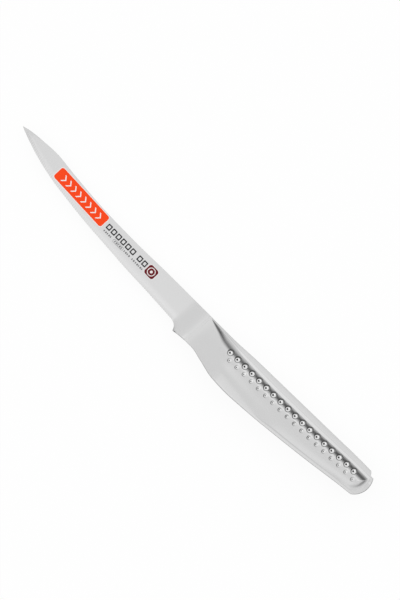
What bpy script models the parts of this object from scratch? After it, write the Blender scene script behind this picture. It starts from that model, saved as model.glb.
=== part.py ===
"""Fine-toothed kitchen knife, all steel: a flexible blade welded to a hollow handle.

The handle is two pressed half shells with a scooped, dimpled grip on each side. They are welded
to the blade's neck and to each other, and filled with sand that balances the blade. The knife
lies on its side: +X runs from the tip to the butt, +Y to the spine, +Z to the marked face.
Metres. Each shape is worked out in the knife's own coordinates, with x from the tip, y from the
line through the tip, and z from the middle of the blade's thickness.
"""

import math

import bmesh
import bpy
import numpy as np

# Lengths along the knife
BLADE_LENGTH = 0.1460           # tip to the heel's corner
HANDLE_LENGTH = 0.1440          # heel's corner to the butt
NECK_LENGTH = 0.0086            # heel's corner to the weld that joins the handle
SWELL_DISTANCE = 0.0300         # front of the shells to the full thickness, under the forefinger
TANG_LENGTH = 0.0200            # stub that the blade keeps inside the handle
TANG_TAPER = 0.0050             # how far its end is drawn in on both sides

# Widths across the knife, spine to underside
SPINE_RISE = 0.0134             # how far the spine climbs from the tip to the butt
BLADE_WIDTH = 0.0174            # at the heel end of the edge
HEEL_WIDTH = 0.0217             # at the heel's corner
NECK_WIDTH = 0.0207
SWELL_WIDTH = 0.0264
GRIP_WIDTH = 0.0240             # two thirds along the handle
BUTT_WIDTH = 0.0180

# Thicknesses
SPINE_THICKNESS_HEEL = 0.0017
SPINE_THICKNESS_TIP = 0.0008
SHOULDER_THICKNESS = 0.0007     # above the bevel, at the heel
NECK_THICKNESS = 0.0040         # at the weld
TANG_THICKNESS = 0.0014
HANDLE_THICKNESS = 0.0145
SHELL_WALL = 0.0010
SPINE_ROUNDING = 0.0004         # corners of the blade's back
NECK_ROUNDING = 0.0006          # corners of the neck, at its spine
NECK_CHAMFER = 0.0012           # and at its underside, where the bevel ends

# Cutting edge
BEVEL_WIDTH = 0.0026
TOOTH_PITCH = 0.00138
TOOTH_DEPTH = 0.00022
PLAIN_TIP = 0.0040              # length of edge at the tip that has no teeth
NOTCH_LENGTH = 0.0054           # finger notch between the edge and the heel's corner

# Grip
RIDGE_WIDTH = 0.0054            # flat-topped bar along the spine, up to the scoop's crease
RIDGE_ROUNDING = 0.0016
SCOOP_WALL_WIDTH = 0.0042
SCOOP_DEPTH = 0.0023
UNDERSIDE_ROUNDING = 0.0012
UNDERSIDE_RIM = 0.0010          # flat rim between the scoop and the underside, at the butt end
SWELL_RIM = 0.0060              # its width at the swell, where it falls away to the underside
SWELL_FALL = 0.0012
BUTT_RADIUS = 0.0135            # outline of the butt, seen from the side
BUTT_ROUNDING = 0.0016          # of its rim
BUTT_CORNER = 0.0016            # of its corner at the spine
BUTT_BEND = 0.0220              # length over which the handle's sections bend to the round end
RIM_WIDTH = 0.0034              # butt to the end of the scoop
DIMPLES_IN_ROW = 18
DIMPLE_PITCH = 0.00583
DIMPLE_WIDTH = 0.0034
SMALL_DIMPLE_WIDTH = 0.0028
DIMPLE_DEPTH = 0.00045
FIRST_DIMPLE = 0.0228           # front of the shells to the first dimple of the upper row
DIMPLES_BELOW_SPINE = 0.0080    # upper row, where it is furthest from the spine
DIMPLE_ROW_DROP = 0.0035        # upper row to lower row

# Welds, label and clearances
WELD_BEAD = 0.0008
JOINT_GAP = 0.0003
SAND_GAP = 0.0006               # the sand is loose, so its solid lies a little further in
LABEL_LENGTH = 0.0410
LABEL_WIDTH = 0.0088
LABEL_THICKNESS = 0.00015
LABEL_FROM_TIP = 0.0534         # to the label's middle
LABEL_RAISED = 0.0013           # above the middle of the blade's width there
LABEL_CORNER = 0.0012

# Worked out from the sizes above
KNIFE_LENGTH = BLADE_LENGTH + HANDLE_LENGTH
EDGE_END = BLADE_LENGTH - NOTCH_LENGTH
WELD_AT = BLADE_LENGTH + NECK_LENGTH
SHELL_AT = WELD_AT + WELD_BEAD + 2 * JOINT_GAP
SWELL_AT = SHELL_AT + SWELL_DISTANCE
SEAM_HALF = WELD_BEAD / 2 + JOINT_GAP
SCOOP_END = KNIFE_LENGTH - RIM_WIDTH
SCOOP_END_WALL = SCOOP_WALL_WIDTH * 0.8
NOTCH_TURN = math.radians(75)

# Rounded side of a handle section, as shares of its width and height
ROUND_SIDE = ((0.0, 0.0), (0.03, 0.48), (0.14, 0.85), (0.45, 0.96), (1.0, 1.0))
SIDE_SQUEEZE = 0.15             # how far points crowded out of the inner side's edge stay apart
# Rounded corner of a blade section, as shares of its rounding and half thickness
BLADE_CORNER = ((0.0, 0.48), (0.4, 0.87), (1.0, 1.0))
FLAT_ANGLE = 0.002              # faces that meet at less than this are one flat face


def curve(points):
    """Smooth curve through (place, value) points that overshoots none, level beyond both ends."""
    places, values = (np.array(column, dtype=float) for column in zip(*points))
    rises = np.diff(values) / np.diff(places)
    slopes = [2 * a * b / (a + b) if a * b > 0 else 0.0 for a, b in zip(rises, rises[1:])]
    slopes = [rises[0], *slopes, rises[-1]]

    def value_at(place):
        i = int(np.clip(np.searchsorted(places, place) - 1, 0, len(places) - 2))
        span = places[i + 1] - places[i]
        t = float(np.clip((place - places[i]) / span, 0.0, 1.0))
        rise = values[i + 1] - values[i]
        bend = slopes[i] * (1 - t) ** 2 * t - slopes[i + 1] * (1 - t) * t ** 2
        return values[i] + rise * t * t * (3 - 2 * t) + bend * span

    return value_at


def ease(t):
    """0 to 1 with a soft start and end."""
    t = min(max(t, 0.0), 1.0)
    return t * t * (3 - 2 * t)


def mix(low, high, t):
    return low + (high - low) * t


def along(station):
    """Distance from the tip. Stations are 0 at the tip, 1 at the heel and 2 at the butt."""
    return min(station, 1.0) * BLADE_LENGTH + max(station - 1.0, 0.0) * HANDLE_LENGTH


def outline(points):
    """Curve of (station, width) points along the knife."""
    return curve([(along(station), width) for station, width in points])


def along_grip(points, size):
    """Curve of (place, share of the size) points along the shells, from 0 in front to 1 at the butt."""
    return curve([(mix(SHELL_AT, KNIFE_LENGTH, place), size * share) for place, share in points])


# Outline: the spine's height, and how far the underside lies below it
spine_line = outline([(station, SPINE_RISE * share) for station, share in (
    (0.0, 0.0), (0.04, 0.12), (0.09, 0.20), (0.18, 0.284), (0.29, 0.21), (0.47, 0.142),
    (0.64, 0.187), (0.83, 0.306), (1.02, 0.396), (1.21, 0.485), (1.31, 0.582), (1.50, 0.71),
    (1.75, 0.873), (1.90, 0.97), (2.0, 1.0))])
blade_width = outline([(station, BLADE_WIDTH * share) for station, share in (
    (0.0, 0.0), (0.04, 0.225), (0.088, 0.402), (0.135, 0.548), (0.183, 0.655), (0.24, 0.70),
    (0.35, 0.73), (0.56, 0.796), (0.73, 0.888), (0.96, 1.0))])
handle_width = outline((
    (1.0, HEEL_WIDTH), (1.06, mix(HEEL_WIDTH, NECK_WIDTH, 0.9)), (1.10, NECK_WIDTH),
    (1.16, mix(NECK_WIDTH, SWELL_WIDTH, 0.3)), (1.25, mix(NECK_WIDTH, SWELL_WIDTH, 0.83)),
    (1.33, SWELL_WIDTH), (1.45, mix(GRIP_WIDTH, SWELL_WIDTH, 0.7)), (1.60, GRIP_WIDTH),
    (1.79, mix(BUTT_WIDTH, GRIP_WIDTH, 0.54)), (1.97, BUTT_WIDTH)))

# Forms of the grip along the handle
ridge_width = along_grip((
    (0.0, 0.07), (0.05, 0.19), (0.13, 0.41), (0.22, 0.73), (0.30, 0.90), (0.43, 1.0), (0.60, 1.0),
    (0.75, 0.93), (0.95, 0.84)), RIDGE_WIDTH)
wall_width = along_grip((
    (0.0, 0.12), (0.045, 0.52), (0.07, 0.74), (0.12, 1.22), (0.19, 1.16), (0.32, 1.05), (0.50, 1.0)),
    SCOOP_WALL_WIDTH)
scoop_start = along_grip((
    (0.0, 0.10), (0.045, 0.48), (0.07, 0.66), (0.12, 0.94), (0.18, 1.0), (0.25, 1.0)), 1.0)
swell_rim = along_grip((
    (0.0, 0.2), (0.12, 0.75), (0.22, 1.0), (0.36, 0.6), (0.48, 0.0), (1.0, 0.0)), SWELL_RIM)
swell_fall = along_grip((
    (0.0, 0.0), (0.10, 0.6), (0.20, 1.0), (0.36, 0.5), (0.50, 0.0), (1.0, 0.0)), SWELL_FALL)
flat_rim = along_grip(((0.36, 0.0), (0.50, 1.0), (1.0, 1.0)), UNDERSIDE_RIM)
crisp_rim = along_grip(((0.30, 0.0), (0.52, 1.0), (1.0, 1.0)), 1.0)
dimples_below_spine = along_grip((
    (0.17, 0.89), (0.38, 0.98), (0.60, 1.0), (0.82, 0.95), (0.92, 0.90)), DIMPLES_BELOW_SPINE)


def spine_at(x):
    corner_start = KNIFE_LENGTH - butt_sag(spine_line(KNIFE_LENGTH)) - BUTT_CORNER
    into_corner = min(max(x - corner_start, 0.0), BUTT_CORNER)
    return spine_line(x) - BUTT_CORNER + math.sqrt(BUTT_CORNER ** 2 - into_corner ** 2)


def underside_at(x):
    """Lower outline: the edge, the notch's arc, then the handle's underside."""
    if x <= EDGE_END:
        return spine_line(x) - blade_width(x)
    if x >= BLADE_LENGTH:
        return spine_line(x) - handle_width(x)
    edge, corner = underside_at(EDGE_END), underside_at(BLADE_LENGTH)
    turn = math.asin((x - EDGE_END) / NOTCH_LENGTH * math.sin(NOTCH_TURN))
    return mix(edge, corner, (1 - math.cos(turn)) / (1 - math.cos(NOTCH_TURN)))


def butt_sag(y):
    """How far the butt's round end lies short of the knife's full length at height y."""
    middle = spine_line(KNIFE_LENGTH) - BUTT_WIDTH / 2
    off = min(abs(y - middle), BUTT_RADIUS * 0.95)
    return BUTT_RADIUS - math.sqrt(BUTT_RADIUS ** 2 - off ** 2)


def crest_height(x):
    """Half the handle's thickness along its underside: the neck's at first, full from the swell on."""
    return mix(NECK_THICKNESS, HANDLE_THICKNESS, ease((x - WELD_AT) / (SWELL_AT - WELD_AT))) / 2


def ridge_height(x):
    """The same along the spine, where the ridge stands up from the floor of the scoop."""
    start = min(float(scoop_start(x)), 1.0) if x > SHELL_AT else 0.0
    floor = mix(NECK_THICKNESS / 2, HANDLE_THICKNESS / 2 - SCOOP_DEPTH,
                ease((x - WELD_AT) / (SWELL_AT - WELD_AT)))
    return floor + SCOOP_DEPTH * start


def scoop_depth(x):
    start = min(float(scoop_start(x)), 1.0)
    return SCOOP_DEPTH * start * (1 - ease((x - SCOOP_END) / SCOOP_END_WALL + 1))


def grip_profile(x, inset=0.0):
    """Front half of the handle's section: (distance below the spine, height) points.

    inset lowers the section and draws in its sides, for the inner side of the shell and the sand.
    """
    width = spine_line(x) - underside_at(x)
    height, crest, fall = ridge_height(x) - inset, crest_height(x) - inset, swell_fall(x)
    floor = height - scoop_depth(x)
    ridge, corner = ridge_width(x), width - UNDERSIDE_ROUNDING
    foot, brow = ridge + wall_width(x), corner - swell_rim(x) - flat_rim(x)
    top = min(RIDGE_ROUNDING, ridge * 0.6)
    spine_side = [(top * across, height * up) for across, up in ROUND_SIDE]
    underside = [(mix(width, corner, across), (crest - fall) * up) for across, up in reversed(ROUND_SIDE)]
    scoop = [(mix(ridge, foot, part), mix(height, floor, ease(part))) for part in (0.0, 0.25, 0.5, 0.75, 1.0)]
    scoop += [(mix(foot, brow, part), mix(floor, crest, mix(ease(part), part ** 2, crisp_rim(x))))
              for part in (0.4, 0.75, 1.0)]
    scoop.append((mix(brow, corner, 0.6), crest - fall * 0.4))

    def drawn_in(across):
        return max(across, inset + SIDE_SQUEEZE * across)

    return [(width - drawn_in(width - drawn_in(below)), rise)
            for below, rise in spine_side + scoop + underside]


def handle_ring(x, inset, foot, drop=1.0):
    """Points of the front half at x, drawn in by inset, from height foot at the seam.

    Near the butt the ring bends to the end's round outline. drop, from 1 to 0, lowers the ring
    to the seam to close the end.
    """
    profile = grip_profile(x, inset)
    width = spine_line(x) - underside_at(x)
    bend = ease((x - KNIFE_LENGTH) / BUTT_BEND + 1)

    def bent(y):
        return x - bend * butt_sag(y)

    top, low = spine_at(x), underside_at(x)
    for _ in range(3):
        top, low = spine_at(bent(top)), underside_at(bent(low))
    points = []
    for below, rise in profile:
        y = mix(top, low, below / width)
        points.append((bent(y), y, max(rise * drop, foot)))
    return points


def handle_rings(start, inset, foot):
    """Rings of the front half from start to the butt, closed there by a rounded rim."""
    end = KNIFE_LENGTH - inset
    rounding = BUTT_ROUNDING - inset / 2
    swell = np.linspace(start, SWELL_AT, 11)
    grip = np.linspace(SWELL_AT, SCOOP_END - SCOOP_END_WALL, 10)[1:]
    rise = np.linspace(grip[-1], SCOOP_END, 5)[1:]
    rings = [handle_ring(x, inset, foot) for x in (*swell, *grip, *rise)]
    for degrees in (0, 35, 65, 90):
        turn = math.radians(degrees)
        rings.append(handle_ring(end - rounding * (1 - math.sin(turn)), inset, foot, math.cos(turn)))
    return rings


def flipped(points):
    """The same points on the back."""
    return [(x, y, -z) for x, y, z in points]


def add_sheet(bm, rings):
    """Faces between neighbouring rings of the same number of points."""
    rows = [[bm.verts.new(point) for point in ring] for ring in rings]
    for row, following in zip(rows, rows[1:]):
        for i in range(len(row) - 1):
            bm.faces.new((row[i], following[i], following[i + 1], row[i + 1]))
    return rows


def add_tube(bm, rings, capped):
    """Closed rings joined into a tube, with both ends filled if capped."""
    rows = add_sheet(bm, [ring + ring[:1] for ring in rings])
    for row in rows:
        bmesh.ops.pointmerge(bm, verts=[row[0], row[-1]], merge_co=row[0].co)
    if capped:
        for row in (rows[0], rows[-1]):
            bm.faces.new(row[:-1])


def finished(name, bm, material, knife, smooth_below=40):
    """Object of the mesh, faces outward, shaded smooth except at its creases."""
    bmesh.ops.remove_doubles(bm, verts=bm.verts, dist=1e-6)
    bmesh.ops.dissolve_degenerate(bm, edges=bm.edges, dist=1e-6)
    bmesh.ops.recalc_face_normals(bm, faces=bm.faces)
    bmesh.ops.dissolve_limit(bm, angle_limit=FLAT_ANGLE, verts=bm.verts, edges=bm.edges)
    mesh = bpy.data.meshes.new(name)
    bm.to_mesh(mesh)
    bm.free()
    mesh.shade_smooth()
    mesh.set_sharp_from_angle(angle=math.radians(smooth_below))
    mesh.materials.append(material)
    piece = bpy.data.objects.new(name, mesh)
    piece.parent = knife
    bpy.context.collection.objects.link(piece)
    return piece


def finish_of(name, colour, roughness, metallic):
    material = bpy.data.materials.new(name)
    material.use_nodes = True
    shader = material.node_tree.nodes["Principled BSDF"]
    shader.inputs["Base Color"].default_value = (*colour, 1.0)
    shader.inputs["Roughness"].default_value = roughness
    shader.inputs["Metallic"].default_value = metallic
    return material


def flat_half_thickness(x, y):
    """Height of the blade's flat ground face, a plane that thins to the tip and to the edge."""
    heel_spine = spine_line(EDGE_END)
    across = (SPINE_THICKNESS_HEEL - SHOULDER_THICKNESS) / 2 / (BLADE_WIDTH - BEVEL_WIDTH)
    heel = SPINE_THICKNESS_HEEL / 2 - across * heel_spine
    lengthwise = (heel - SPINE_THICKNESS_TIP / 2) / EDGE_END
    return heel + across * y + lengthwise * (x - EDGE_END)


def blade_ring(x, bite=0.0):
    """Closed section of the blade or neck at x; bite is the depth of the tooth's gullet there."""
    top, low = spine_line(x), underside_at(x)
    width = top - low
    neck = ease((x - EDGE_END) / (WELD_AT - EDGE_END))
    thin = min(width / (2 * BEVEL_WIDTH), 1.0)
    bevel = mix(min(BEVEL_WIDTH, width * 0.45), NECK_CHAMFER, neck)
    rounding = mix(min(SPINE_ROUNDING, width * 0.2), NECK_ROUNDING, neck)

    def half(y):
        return mix(flat_half_thickness(x, y) * thin, crest_height(x), neck)

    shoulder = half(low + bevel)
    back_slope = shoulder / bevel if bite else 0.0
    edge = neck * half(low) * BLADE_CORNER[0][1]
    front = [(top - rounding * across, half(top - rounding * across) * up) for across, up in BLADE_CORNER]
    across, up = BLADE_CORNER[1]
    front += [(low + bevel, shoulder), (low + bevel * across, shoulder * mix(across, up, neck))]
    back = [(y, -z) for y, z in reversed(front)]
    tip = [(low + bite, edge - bite * back_slope), (low + bite, -edge - bite * back_slope)]
    return [(x, y, z) for y, z in front + tip + back]


def edge_stations():
    """Places along the edge, three for each tooth, with the gullet's depth at each."""
    samples = np.linspace(0.0, EDGE_END, 600)
    heights = np.array([underside_at(x) for x in samples])
    travelled = np.concatenate(([0.0], np.cumsum(np.hypot(np.diff(samples), np.diff(heights)))))
    teeth = round((travelled[-1] - PLAIN_TIP) / TOOTH_PITCH)
    pitch = (travelled[-1] - PLAIN_TIP) / teeth
    stations = [(x, 0.0) for x in np.interp(np.linspace(0.0, PLAIN_TIP, 6)[:-1], travelled, samples)]
    for tooth in range(teeth):
        for part, bite in ((0.0, 0.0), (0.3, TOOTH_DEPTH), (0.7, TOOTH_DEPTH)):
            where = PLAIN_TIP + (tooth + part) * pitch
            stations.append((float(np.interp(where, travelled, samples)), bite))
    return stations


def make_blade(material, knife):
    bm = bmesh.new()
    rings = [blade_ring(x, bite) for x, bite in edge_stations()]
    for turn in np.linspace(0.0, NOTCH_TURN, 7):
        rings.append(blade_ring(EDGE_END + NOTCH_LENGTH * math.sin(turn) / math.sin(NOTCH_TURN)))
    rings += [blade_ring(x) for x in np.linspace(BLADE_LENGTH, WELD_AT, 6)[1:]]

    for length, taper in ((0.0, 0.0), (0.5, 0.2), (0.9, 0.6), (1.0, 1.0)):
        x = mix(WELD_AT, SHELL_AT + TANG_LENGTH, length)
        inset = SHELL_WALL + JOINT_GAP + TANG_TAPER * taper
        top, low = spine_line(x) - inset, underside_at(x) + inset
        front = [(x, mix(top, low, part), TANG_THICKNESS / 2) for part in (0.0, 0.1, 0.3, 0.7, 0.9, 1.0)]
        rings.append(front + flipped(front)[::-1])
    add_tube(bm, rings, capped=True)
    return finished("blade", bm, material, knife, smooth_below=12)


def make_shell(name, side, material, knife):
    bm = bmesh.new()
    for inset in (0.0, SHELL_WALL):
        rings = handle_rings(SHELL_AT, inset, SEAM_HALF)
        add_sheet(bm, rings if side > 0 else [flipped(ring) for ring in rings])
    bmesh.ops.bridge_loops(bm, edges=[edge for edge in bm.edges if edge.is_boundary])
    shell = finished(name, bm, material, knife, smooth_below=28)
    press_dimples(shell, side)
    return shell


def press_dimples(shell, side):
    """Two staggered rows of round dimples along the foot of the scoop's wall."""
    bm = bmesh.new()
    for row, size in enumerate((DIMPLE_WIDTH, SMALL_DIMPLE_WIDTH)):
        radius = (size ** 2 / 4 + DIMPLE_DEPTH ** 2) / (2 * DIMPLE_DEPTH)
        for i in range(DIMPLES_IN_ROW):
            x = SHELL_AT + FIRST_DIMPLE + (i + row / 2) * DIMPLE_PITCH
            below = dimples_below_spine(x) + row * DIMPLE_ROW_DROP
            height, lean = skin_height(x, below)
            ball = bmesh.ops.create_uvsphere(bm, u_segments=8, v_segments=12, radius=radius)["verts"]
            # Only the lowest part of the ball, closed with a flat lid above the skin
            bmesh.ops.delete(bm, geom=[v for v in ball if v.co.z > radius * -0.70], context="VERTS")
            ball = [v for v in ball if v.is_valid]
            bmesh.ops.contextual_create(bm, geom=[e for e in bm.edges if e.is_boundary])
            for v in ball:
                y, z = v.co.y, v.co.z + radius - DIMPLE_DEPTH
                v.co.y = y * math.cos(lean) - z * math.sin(lean) + spine_line(x) - below
                v.co.z = (y * math.sin(lean) + z * math.cos(lean) + height) * side
                v.co.x += x
    bmesh.ops.recalc_face_normals(bm, faces=bm.faces)
    mesh = bpy.data.meshes.new(shell.name + "_dimple_punch")
    bm.to_mesh(mesh)
    bm.free()
    punch = bpy.data.objects.new(mesh.name, mesh)
    punch.hide_render = True
    punch.display_type = "WIRE"
    punch.parent = shell.parent
    bpy.context.collection.objects.link(punch)
    cut = shell.modifiers.new("dimples", "BOOLEAN")
    cut.object = punch
    cut.solver = "EXACT"


def skin_height(x, below):
    """Height of the handle's skin at x and a distance below the spine, and its lean there."""
    across, heights = zip(*grip_profile(x))
    step = DIMPLE_WIDTH / 4
    near, far = np.interp([below - step, below + step], across, heights)
    return float(np.interp(below, across, heights)), math.atan2(near - far, 2 * step)


def make_seam_weld(material, knife):
    """Bead that runs in the seam along the spine, round the butt and back along the underside."""
    paths = []
    for inset in (0.0, SHELL_WALL):
        rings = handle_rings(SHELL_AT, inset, SEAM_HALF)
        spine = [ring[0] for ring in rings]
        underside = [ring[-1] for ring in rings]
        paths.append(spine + rings[-1][1:-1] + underside[::-1])
    half = WELD_BEAD / 2
    rings = [[(*a[:2], half), (*a[:2], -half), (*b[:2], -half), (*b[:2], half)] for a, b in zip(*paths)]
    bm = bmesh.new()
    add_tube(bm, rings, capped=True)
    return finished("seam_weld", bm, material, knife)


def make_neck_weld(material, knife):
    """Bead between the blade's neck and the front ends of both shells, all round the tang."""
    bm = bmesh.new()
    loops = []
    for inset in (0.0, SHELL_WALL):
        front = handle_ring(SHELL_AT, inset, 0.0)
        loops.append([(y, z) for _, y, z in front + flipped(front)[-2:0:-1]])
    start, end = WELD_AT + JOINT_GAP, WELD_AT + JOINT_GAP + WELD_BEAD
    around = zip(*loops)
    rings = [[(start, *a), (end, *a), (end, *b), (start, *b)] for a, b in around]
    add_tube(bm, rings + rings[:1], capped=False)
    return finished("neck_weld", bm, material, knife)


def make_sand(material, knife):
    """Loose sand that fills the handle from the tang to the butt."""
    bm = bmesh.new()
    start = SHELL_AT + TANG_LENGTH + JOINT_GAP
    rings = [front + flipped(front)[-2:0:-1]
             for front in handle_rings(start, SHELL_WALL + SAND_GAP, 0.0)]
    add_tube(bm, rings, capped=True)
    return finished("balance_sand", bm, material, knife)


def make_label(material, knife):
    """Printed label with round corners, on the marked face of the blade."""
    bm = bmesh.new()
    bmesh.ops.create_grid(bm, x_segments=1, y_segments=1, size=0.5)
    bmesh.ops.scale(bm, vec=(LABEL_LENGTH, LABEL_WIDTH, 1.0), verts=bm.verts)
    bmesh.ops.bevel(bm, geom=bm.verts[:], offset=LABEL_CORNER, affect="VERTICES", segments=4, profile=0.5)
    middle = spine_line(LABEL_FROM_TIP) - blade_width(LABEL_FROM_TIP) / 2
    bmesh.ops.translate(bm, vec=(LABEL_FROM_TIP, middle + LABEL_RAISED, JOINT_GAP), verts=bm.verts)
    lifted = bmesh.ops.extrude_face_region(bm, geom=bm.faces[:])["geom"]
    top = [v for v in lifted if isinstance(v, bmesh.types.BMVert)]
    bmesh.ops.translate(bm, vec=(0.0, 0.0, LABEL_THICKNESS), verts=top)
    for v in bm.verts:
        v.co.z += flat_half_thickness(v.co.x, v.co.y)
    return finished("blade_label", bm, material, knife)


for old in list(bpy.data.objects):
    bpy.data.objects.remove(old)

# The knife's origin: middle of its length and width, on the surface that it lies on
places = [along(station) for station in np.linspace(0.0, 2.0, 400)]
highest = max(spine_at(x) for x in places if x < KNIFE_LENGTH - butt_sag(spine_line(x)))
lowest = min(underside_at(x) for x in places)
knife = bpy.data.objects.new("knife", None)
knife.location = (-KNIFE_LENGTH / 2, -(highest + lowest) / 2, HANDLE_THICKNESS / 2)
bpy.context.collection.objects.link(knife)

steel = finish_of("satin_steel", (0.66, 0.66, 0.66), 0.32, 1.0)
grip_steel = finish_of("matt_steel", (0.62, 0.62, 0.62), 0.38, 1.0)
bead = finish_of("weld_steel", (0.60, 0.60, 0.60), 0.45, 1.0)
sand = finish_of("sand", (0.76, 0.66, 0.48), 0.95, 0.0)
film = finish_of("orange_film", (0.93, 0.11, 0.02), 0.45, 0.0)

make_blade(steel, knife)
make_neck_weld(bead, knife)
make_shell("handle_shell_front", 1, grip_steel, knife)
make_shell("handle_shell_back", -1, grip_steel, knife)
make_seam_weld(bead, knife)
make_sand(sand, knife)
make_label(film, knife)
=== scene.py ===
import math

import bmesh
import bpy
import numpy as np
from mathutils import Matrix, Vector


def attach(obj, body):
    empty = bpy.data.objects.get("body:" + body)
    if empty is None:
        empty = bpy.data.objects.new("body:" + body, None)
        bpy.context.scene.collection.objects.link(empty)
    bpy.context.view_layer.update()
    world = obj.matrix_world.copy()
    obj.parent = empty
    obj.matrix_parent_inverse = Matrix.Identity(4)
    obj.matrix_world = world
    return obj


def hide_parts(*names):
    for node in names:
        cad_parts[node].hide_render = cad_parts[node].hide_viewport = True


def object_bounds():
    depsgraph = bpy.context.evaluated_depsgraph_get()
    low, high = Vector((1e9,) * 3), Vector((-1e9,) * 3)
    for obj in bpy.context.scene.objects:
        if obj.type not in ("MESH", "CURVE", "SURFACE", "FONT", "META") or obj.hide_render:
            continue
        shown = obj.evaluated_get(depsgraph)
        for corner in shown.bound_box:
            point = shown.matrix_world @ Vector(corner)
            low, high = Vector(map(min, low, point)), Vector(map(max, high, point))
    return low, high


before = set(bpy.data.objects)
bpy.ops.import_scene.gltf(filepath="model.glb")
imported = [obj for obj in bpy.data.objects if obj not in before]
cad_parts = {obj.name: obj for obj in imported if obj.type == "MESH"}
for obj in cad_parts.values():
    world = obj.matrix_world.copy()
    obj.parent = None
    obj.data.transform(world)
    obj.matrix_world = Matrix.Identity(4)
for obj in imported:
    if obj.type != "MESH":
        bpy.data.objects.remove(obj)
solid_low, solid_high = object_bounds()


# Blade
# One strip of stainless steel, ground thin towards the tip and the edge, with a narrow bevel on each
# side. A fine wheel has cut the teeth square to the edge, into the marked face only. The same steel
# runs on through the heel's finger notch into the neck and a stub tang inside the handle.
TIP_ASIDE = 0.002634  # from the middle of the knife's width, towards the spine
TIP_PLACE = Vector((solid_low.x, TIP_ASIDE, (solid_low.z + solid_high.z) / 2))

BLADE_LENGTH = 0.1460
HANDLE_LENGTH = 0.1440
NECK_LENGTH = 0.0086
TANG_LENGTH = 0.0205
TANG_INSET = 0.0016
TANG_TAPER = 0.0050
TANG_THICKNESS = 0.0014
SPINE_RISE = 0.0134
BLADE_WIDTH = 0.0174
HEEL_WIDTH = 0.0217
NECK_WIDTH = 0.0207
SWELL_WIDTH = 0.0264
GRIP_WIDTH = 0.0240
BUTT_WIDTH = 0.0180
SPINE_THICKNESS_HEEL = 0.0017
SPINE_THICKNESS_TIP = 0.0008
SHOULDER_THICKNESS = 0.0007
NECK_THICKNESS = 0.0040
HANDLE_THICKNESS = 0.0145
SWELL_DISTANCE = 0.0314
SPINE_ROUNDING = 0.00012
NECK_ROUNDING = 0.00025
NECK_UNDERSIDE_ROUNDING = 0.0003
NECK_LEAN = 0.032
TIP_POINT = 0.00001
TIP_ROUNDING_SHARE = 0.2
TIP_BEVEL_SHARE = 0.45
BEVEL_WIDTH = 0.0026
BEVEL_SLOPE = SHOULDER_THICKNESS / 2 / BEVEL_WIDTH
FLUTE_LENGTH = 0.0021
TOOTH_PITCH = 0.00138
TOOTH_DEPTH = 0.00022
TOOTH_STEPS = 8
EDGE_SAMPLES = 900
PLAIN_TIP = 0.0040
PLAIN_TIP_STEPS = 13
NOTCH_LENGTH = 0.0054
NOTCH_TURN = math.radians(75)
NOTCH_STEPS = 16
NECK_STEPS = 16
ROUND_POWER = 2 / 3.4
MERGE_DISTANCE = 2e-6

KNIFE_LENGTH = BLADE_LENGTH + HANDLE_LENGTH
EDGE_END = BLADE_LENGTH - NOTCH_LENGTH
WELD_AT = BLADE_LENGTH + NECK_LENGTH
SWELL_AT = WELD_AT + SWELL_DISTANCE


def curve(points):
    """Smooth curve through (place, value) points that overshoots none, level beyond both ends."""
    places, values = (np.array(column, dtype=float) for column in zip(*points))
    rises = np.diff(values) / np.diff(places)
    slopes = [2 * a * b / (a + b) if a * b > 0 else 0.0 for a, b in zip(rises, rises[1:])]
    slopes = [rises[0], *slopes, rises[-1]]

    def value_at(place):
        i = int(np.clip(np.searchsorted(places, place) - 1, 0, len(places) - 2))
        span = places[i + 1] - places[i]
        t = float(np.clip((place - places[i]) / span, 0.0, 1.0))
        rise = values[i + 1] - values[i]
        bend = slopes[i] * (1 - t) ** 2 * t - slopes[i + 1] * (1 - t) * t ** 2
        return float(values[i] + rise * t * t * (3 - 2 * t) + bend * span)

    return value_at


def ease(t):
    """0 to 1 with a soft start and end."""
    t = np.clip(t, 0.0, 1.0)
    return t * t * (3 - 2 * t)


def mix(low, high, t):
    return low + (high - low) * t


def along(station):
    """Distance from the tip. Stations are 0 at the tip, 1 at the heel and 2 at the butt."""
    return min(station, 1.0) * BLADE_LENGTH + max(station - 1.0, 0.0) * HANDLE_LENGTH


spine_line = curve([(along(station), SPINE_RISE * share) for station, share in (
    (0.0, 0.0), (0.04, 0.12), (0.09, 0.20), (0.18, 0.284), (0.29, 0.21), (0.47, 0.142),
    (0.64, 0.187), (0.83, 0.306), (1.02, 0.396), (1.21, 0.485), (1.31, 0.582), (1.50, 0.71),
    (1.75, 0.873), (1.90, 0.97), (2.0, 1.0))])
blade_width = curve([(along(station), BLADE_WIDTH * share) for station, share in (
    (0.0, 0.0), (0.04, 0.225), (0.088, 0.402), (0.135, 0.548), (0.183, 0.655), (0.24, 0.70),
    (0.35, 0.73), (0.56, 0.796), (0.73, 0.888), (0.96, 1.0))])
handle_width = curve([(along(station), width) for station, width in (
    (1.0, HEEL_WIDTH), (1.06, mix(HEEL_WIDTH, NECK_WIDTH, 0.9)), (1.10, NECK_WIDTH),
    (1.16, mix(NECK_WIDTH, SWELL_WIDTH, 0.3)), (1.25, mix(NECK_WIDTH, SWELL_WIDTH, 0.83)),
    (1.33, SWELL_WIDTH), (1.45, mix(GRIP_WIDTH, SWELL_WIDTH, 0.7)), (1.60, GRIP_WIDTH),
    (1.79, mix(BUTT_WIDTH, GRIP_WIDTH, 0.54)), (1.97, BUTT_WIDTH))])


def underside_at(x):
    """Lower outline: the edge, the notch's arc, then the handle's underside."""
    if x <= EDGE_END:
        return spine_line(x) - blade_width(x)
    if x >= BLADE_LENGTH:
        return spine_line(x) - handle_width(x)
    edge, corner = underside_at(EDGE_END), underside_at(BLADE_LENGTH)
    turn = math.asin((x - EDGE_END) / NOTCH_LENGTH * math.sin(NOTCH_TURN))
    return mix(edge, corner, (1 - math.cos(turn)) / (1 - math.cos(NOTCH_TURN)))


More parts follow.
